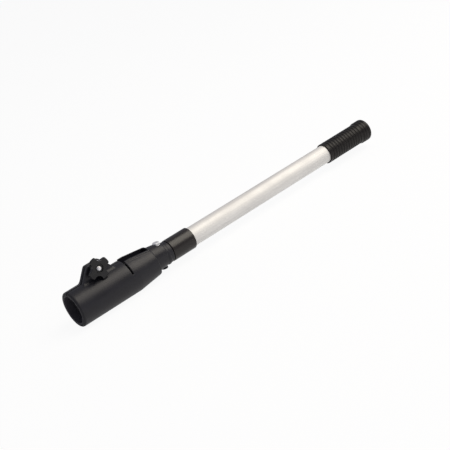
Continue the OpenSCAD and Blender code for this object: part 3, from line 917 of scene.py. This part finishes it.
foot, low, high = middle("neck_nut")
foot.z = low.z
sizes = {"Hole": M6_RADIUS, "Height": high.z - low.z, "Flats": HEX_FLATS}
nut = grow("neck_hexagon_nut", NUT, sizes, "black steel", frame_at(foot, Vector((0, 0, 1))))
wear(nut, "black steel", "head", "black_steel", "neck_nut")

# %% [markdown]
# ## Pieces that stay as packed
# Tubes, ferrule, bush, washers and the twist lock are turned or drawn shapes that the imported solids
# already show as they are. They only get their finishes.

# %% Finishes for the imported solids
KEPT = {
    "sheen nylon": ["ferrule"],
    "satin aluminium": ["outer_tube"],
    "sliding aluminium": ["inner_tube"],
    "bright zinc": ["clamp_washer", "neck_washers", "lock_spindle", "stop_nut", "plug_pin"],
    "turned brass": ["knob_insert"],
    "white acetal": ["guide_bush", "expander_sleeve"],
    "grey polythene": ["lock_plug", "expander_cone", "tube_plug"],
}
for finish, kept in KEPT.items():
    for node in kept:
        for slot in nodes[node].material_slots:
            slot.material = finishes[finish]
print("packed solids with a finish:", sum(len(kept) for kept in KEPT.values()))

# %% [markdown]
# ## Floor, light and camera
# The object lies on a plain pale floor under one large, slightly warm soft box, in a dim and
# slightly cool room. A round bar shows a lamp as a line of light, there where its surface leans
# halfway between the lamp and the camera. The box therefore stands high on the grip's side, which
# puts that line on the upper front of tube and head. Light Path tells floor and room which rays
# look at them: the camera sees both nearly white, and the rest of the floor's look keeps the soft
# shadow. The camera stands where the photograph was taken from: in front of the mouth, to the
# knob's side and above, turned so that the handle climbs across the picture.

# %% White for the rays that look
WHITE = (1.0, 1.0, 1.0, 1.0)
FLOOR_SHARES = {"Is Camera Ray": 0.93, "Is Glossy Ray": 0.5, "Is Transmission Ray": 0.5}
ROOM_SHARES = {"Is Camera Ray": 0.94, "Is Glossy Ray": 0.1, "Is Transmission Ray": 0.1}


def whiten(tree, plain, kind, shares, output):
    """Mixes a plain look with a white node of some kind, by one share for each kind of ray."""
    parts = [
        Wire.node(tree, "ShaderNodeLightPath", out=ray) * share for ray, share in shares.items()
    ]
    white = Wire.node(tree, kind, {}, {"Color": WHITE, "Strength": 1.0})
    looks = {0: sum(parts).least(1.0), 1: plain, 2: white}
    mixed = Wire.node(tree, "ShaderNodeMixShader", {}, looks)
    Wire.feed(tree, tree.nodes[output].inputs["Surface"], mixed)


print("white shares of the floor:", FLOOR_SHARES)

# %% Floor
FLOOR_Z = cad_low.z - 0.3 * MM
FLOOR_HALF = 40.0
FLOOR_COLOUR = (0.95, 0.95, 0.95, 1.0)
CORNERS = ((-1, -1), (1, -1), (1, 1), (-1, 1))
floor_mesh = bpy.data.meshes.new("floor")
points = [(x * FLOOR_HALF, y * FLOOR_HALF, FLOOR_Z) for x, y in CORNERS]
floor_mesh.from_pydata(points, [], [(0, 1, 2, 3)])
floor = new_piece("floor", floor_mesh)
floor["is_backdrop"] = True

tree, shader, _ = new_finish("pale floor")
dress(tree, shader, base_color=FLOOR_COLOUR, roughness=0.9)
plain = Wire(tree, shader.outputs[0])
whiten(tree, plain, "ShaderNodeEmission", FLOOR_SHARES, "Material Output")
floor_mesh.materials.append(finishes["pale floor"])
print("floor at", round(FLOOR_Z / MM, 2), "mm")

# %% Room
ROOM_COLOUR = (0.29, 0.29, 0.34, 1.0)
world = bpy.data.worlds.new("studio")
bpy.context.scene.world = world
world.use_nodes = True
tree = world.node_tree
room = Wire.node(tree, "ShaderNodeBackground", {}, {"Color": ROOM_COLOUR, "Strength": 1.0})
whiten(tree, room, "ShaderNodeBackground", ROOM_SHARES, "World Output")
print("the room is", ROOM_COLOUR[:3])

# %% Lamp
LAMP_PLACE = Vector((1.43, -0.92, 1.90))
LAMP_AIM = Vector((0.28, 0.0, 0.0))
lamp = bpy.data.lights.new("key", "AREA")
lamp.size = 2.0
lamp.energy = 52.0
lamp.color = (1.0, 0.93, 0.81)
lamp_holder = new_piece("key", lamp)
lamp_holder.location = LAMP_PLACE
lamp_holder.rotation_euler = (LAMP_AIM - LAMP_PLACE).to_track_quat("-Z", "Y").to_euler()
print("lamp of", lamp.energy, "W at", [round(part, 2) for part in LAMP_PLACE])

# %% Camera
CAMERA_PLACE = Vector((-0.45321, -1.20292, 0.53876))
CAMERA_RIGHT = Vector((0.74027, -0.59506, -0.31290))
CAMERA_UP = Vector((0.46578, 0.11831, 0.87696))
camera = bpy.data.cameras.new("camera")
camera.sensor_width = 36.0
camera.lens = 78.75
camera_holder = new_piece("camera", camera)
axes = Matrix((CAMERA_RIGHT, CAMERA_UP, CAMERA_RIGHT.cross(CAMERA_UP))).transposed()
camera_holder.matrix_world = Matrix.Translation(CAMERA_PLACE) @ axes.to_4x4()
bpy.context.scene.camera = camera_holder
bpy.context.scene.view_settings.view_transform = "Standard"
print("camera at", [round(part, 3) for part in CAMERA_PLACE])

# %% Sizes, then the end
bpy.context.view_layer.update()
low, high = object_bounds()
print("grown in mm:", [round(side / MM, 2) for side in (high - low) - (cad_high - cad_low)])
